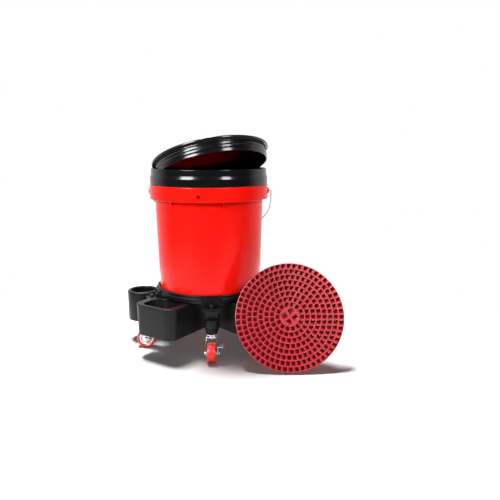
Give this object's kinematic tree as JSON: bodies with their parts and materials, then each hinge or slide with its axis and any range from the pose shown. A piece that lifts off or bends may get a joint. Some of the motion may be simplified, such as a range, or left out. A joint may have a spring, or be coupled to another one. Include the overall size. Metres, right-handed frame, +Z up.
{
  "type": "wash bucket",
  "caption": "Round red wash bucket with a screw lid, on a black dolly with casters, cup holders and tool pods, and a leaning round grit guard.",
  "frame": {"origin": "bottom centre of the whole group's box, on the floor", "axes": "+Z up, -Y towards the front, +X to the right as seen from the front"},
  "size_m": [0.577, 0.4467, 0.5674],
  "materials": {
    "bucket_red": "bright red polypropylene, semi-gloss",
    "lid_black": "black polypropylene, glossy",
    "deck_black": "black polypropylene, finely textured",
    "guard_crimson": "crimson polypropylene, semi-gloss",
    "tyre_red": "red polyurethane, satin",
    "hub_white": "white nylon",
    "chrome": "chrome plated pressed steel",
    "wire_steel": "galvanised steel",
    "seal_rubber": "black rubber, matte"
  },
  "bodies": {
    "root": {"dolly_deck": "deck_black", "pod_left": "deck_black", "pod_right": "deck_black", "cup_holder_left": "deck_black", "cup_holder_right": "deck_black", "holder_bolt_1": "wire_steel", "holder_bolt_2": "wire_steel", "holder_bolt_3": "wire_steel", "holder_bolt_4": "wire_steel", "caster_1_socket": "deck_black", "caster_1_stem": "chrome", "caster_2_socket": "deck_black", "caster_2_stem": "chrome", "caster_3_socket": "deck_black", "caster_3_stem": "chrome", "caster_4_socket": "deck_black", "caster_4_stem": "chrome", "caster_5_socket": "deck_black", "caster_5_stem": "chrome"},
    "bucket": {"bucket": "bucket_red", "lid_ring": "lid_black", "ring_gasket": "seal_rubber"},
    "bail": {"bail_wire": "wire_steel"},
    "grip": {"bail_grip": "lid_black"},
    "lid": {"screw_lid": "lid_black", "lid_o_ring": "seal_rubber"},
    "guard": {"grit_guard": "guard_crimson"},
    "swivel_1": {"caster_1_fork": "chrome", "caster_1_axle": "chrome"},
    "wheel_1": {"caster_1_wheel": "hub_white", "caster_1_tyre": "tyre_red"},
    "brake_1": {"caster_1_brake_lever": "chrome"},
    "swivel_2": {"caster_2_fork": "chrome", "caster_2_axle": "chrome"},
    "wheel_2": {"caster_2_wheel": "hub_white", "caster_2_tyre": "tyre_red"},
    "swivel_3": {"caster_3_fork": "chrome", "caster_3_axle": "chrome"},
    "wheel_3": {"caster_3_wheel": "hub_white", "caster_3_tyre": "tyre_red"},
    "swivel_4": {"caster_4_fork": "chrome", "caster_4_axle": "chrome"},
    "wheel_4": {"caster_4_wheel": "hub_white", "caster_4_tyre": "tyre_red"},
    "brake_4": {"caster_4_brake_lever": "chrome"},
    "swivel_5": {"caster_5_fork": "chrome", "caster_5_axle": "chrome"},
    "wheel_5": {"caster_5_wheel": "hub_white", "caster_5_tyre": "tyre_red"}
  },
  "joints": [
    {"name": "bucket_lift", "type": "slide", "parent": "root", "child": "bucket", "axis": [0, 0, 1], "range_m": [0, 0.2]},
    {"name": "bail_swing", "type": "hinge", "parent": "bucket", "child": "bail", "pos_m": [-0.0552, 0.0352, 0.422], "axis": [1, 0, 0], "range_deg": [0, 70]},
    {"name": "grip_turn", "type": "hinge", "parent": "bail", "child": "grip", "pos_m": [-0.0552, 0.1903, 0.29415], "axis": [1, 0, 0], "continuous": true},
    {"name": "lid_lift", "type": "slide", "parent": "bucket", "child": "lid", "axis": [0, 0, 1], "range_m": [0, 0.25]},
    {"name": "guard_lift", "type": "slide", "parent": "root", "child": "guard", "axis": [0, 0, 1], "range_m": [0, 0.3]},
    {"name": "caster_1_swivel", "type": "hinge", "parent": "root", "child": "swivel_1", "pos_m": [-0.04064, -0.13116, 0.072], "axis": [0, 0, 1], "continuous": true},
    {"name": "caster_1_roll", "type": "hinge", "parent": "swivel_1", "child": "wheel_1", "pos_m": [-0.04064, -0.14916, 0.026], "axis": [1, 0, 0], "continuous": true},
    {"name": "caster_1_brake", "type": "hinge", "parent": "swivel_1", "child": "brake_1", "pos_m": [-0.04064, -0.14916, 0.026], "axis": [1, 0, 0], "range_deg": [0, 20]},
    {"name": "caster_2_swivel", "type": "hinge", "parent": "root", "child": "swivel_2", "pos_m": [-0.20892, -0.03005, 0.072], "axis": [0, 0, 1], "continuous": true},
    {"name": "caster_2_roll", "type": "hinge", "parent": "swivel_2", "child": "wheel_2", "pos_m": [-0.22692, -0.03005, 0.026], "axis": [0, -1, 0], "continuous": true},
    {"name": "caster_3_swivel", "type": "hinge", "parent": "root", "child": "swivel_3", "pos_m": [-0.16476, 0.16124, 0.072], "axis": [0, 0, 1], "continuous": true},
    {"name": "caster_3_roll", "type": "hinge", "parent": "swivel_3", "child": "wheel_3", "pos_m": [-0.17376, 0.17682, 0.026], "axis": [-0.866, -0.5, 0], "continuous": true},
    {"name": "caster_4_swivel", "type": "hinge", "parent": "root", "child": "swivel_4", "pos_m": [0.03081, 0.17835, 0.072], "axis": [0, 0, 1], "continuous": true},
    {"name": "caster_4_roll", "type": "hinge", "parent": "swivel_4", "child": "wheel_4", "pos_m": [0.03547, 0.19573, 0.026], "axis": [-0.9659, 0.2588, 0], "continuous": true},
    {"name": "caster_4_brake", "type": "hinge", "parent": "swivel_4", "child": "brake_4", "pos_m": [0.03547, 0.19573, 0.026], "axis": [-0.9659, 0.2588, 0], "range_deg": [0, 20]},
    {"name": "caster_5_swivel", "type": "hinge", "parent": "root", "child": "swivel_5", "pos_m": [0.10752, -0.00237, 0.072], "axis": [0, 0, 1], "continuous": true},
    {"name": "caster_5_roll", "type": "hinge", "parent": "swivel_5", "child": "wheel_5", "pos_m": [0.12311, -0.01137, 0.026], "axis": [0.5, 0.866, 0], "continuous": true}
  ]
}
